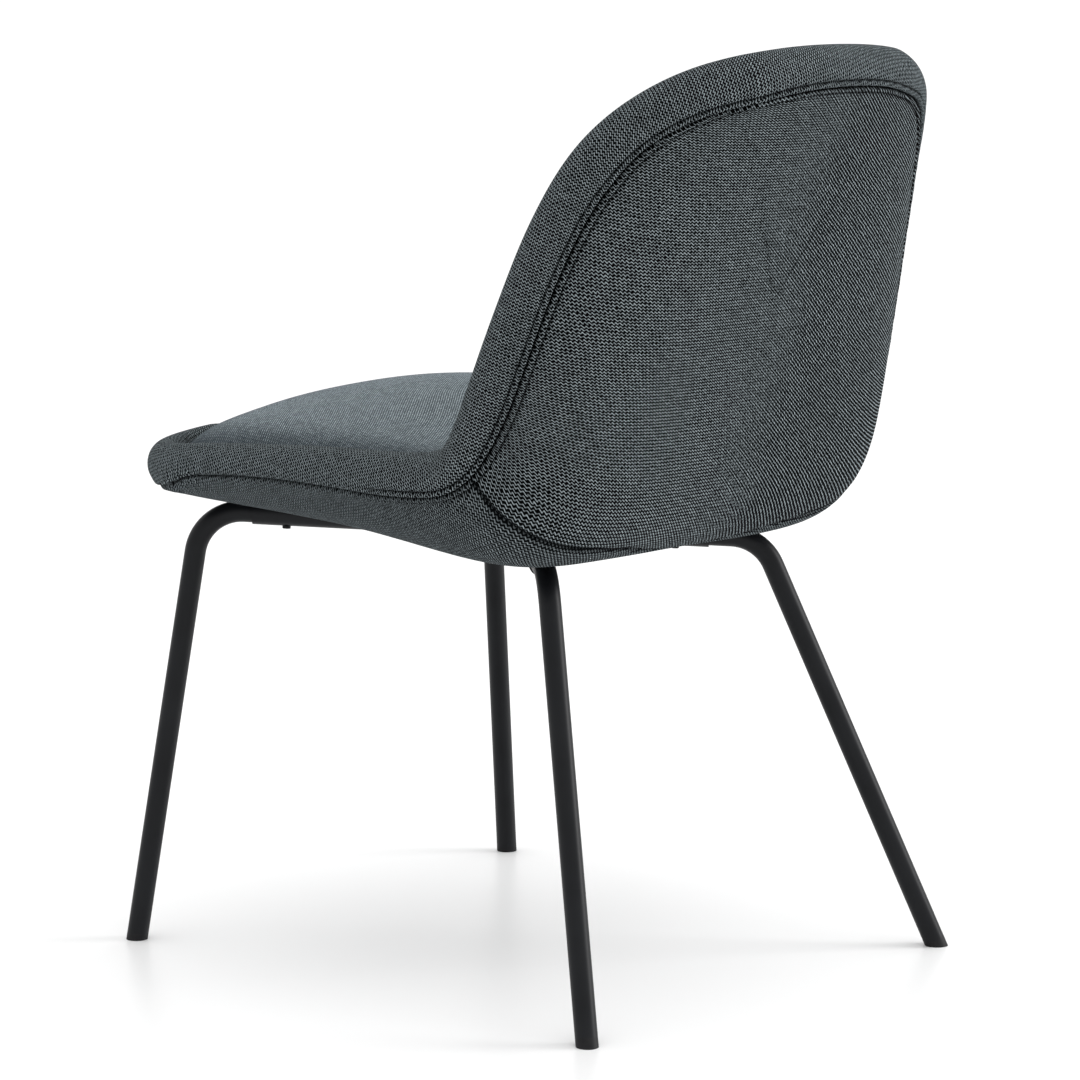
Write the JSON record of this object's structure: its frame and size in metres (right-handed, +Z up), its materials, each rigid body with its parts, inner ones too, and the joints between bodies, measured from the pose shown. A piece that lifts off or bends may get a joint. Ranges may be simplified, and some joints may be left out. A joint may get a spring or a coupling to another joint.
{
  "type": "dining chair",
  "caption": "Armless upholstered dining chair: one dished, padded seat-and-back shell with a rolled rim on splayed black steel tube legs joined by a cross under the seat",
  "frame": {"origin": "on the floor under the middle of the outer box", "axes": "+Z up, the front of the seat faces -Y, the sitter's left is +X"},
  "size_m": [0.5422, 0.6382, 0.8072],
  "materials": {
    "black_steel": "satin",
    "black_plastic": "matte",
    "zinc": "satin",
    "shell_wood": "matte",
    "foam": "matte",
    "upholstery": "woven"
  },
  "bodies": {
    "root": {"leg_front_left": "black_steel", "leg_front_right": "black_steel", "leg_rear_left": "black_steel", "leg_rear_right": "black_steel", "cross_tube_through": "black_steel", "cross_tube_front_right": "black_steel", "cross_tube_rear_left": "black_steel", "mounting_plate": "black_steel", "glide_front_left": "black_plastic", "glide_front_right": "black_plastic", "glide_rear_left": "black_plastic", "glide_rear_right": "black_plastic", "leg_lock_screws": "zinc", "seat_bolts": "zinc", "seat_washers": "zinc", "seat_spacers": "zinc", "seat_tee_nuts": "zinc", "shell_board": "shell_wood", "seat_foam": "foam", "back_foam": "foam", "under_foam": "foam", "back_outer_foam": "foam", "rim_foam": "foam", "seat_cover": "upholstery", "back_inner_cover": "upholstery", "under_cover": "upholstery", "back_outer_cover": "upholstery", "rim_cover": "upholstery"}
  },
  "joints": []
}
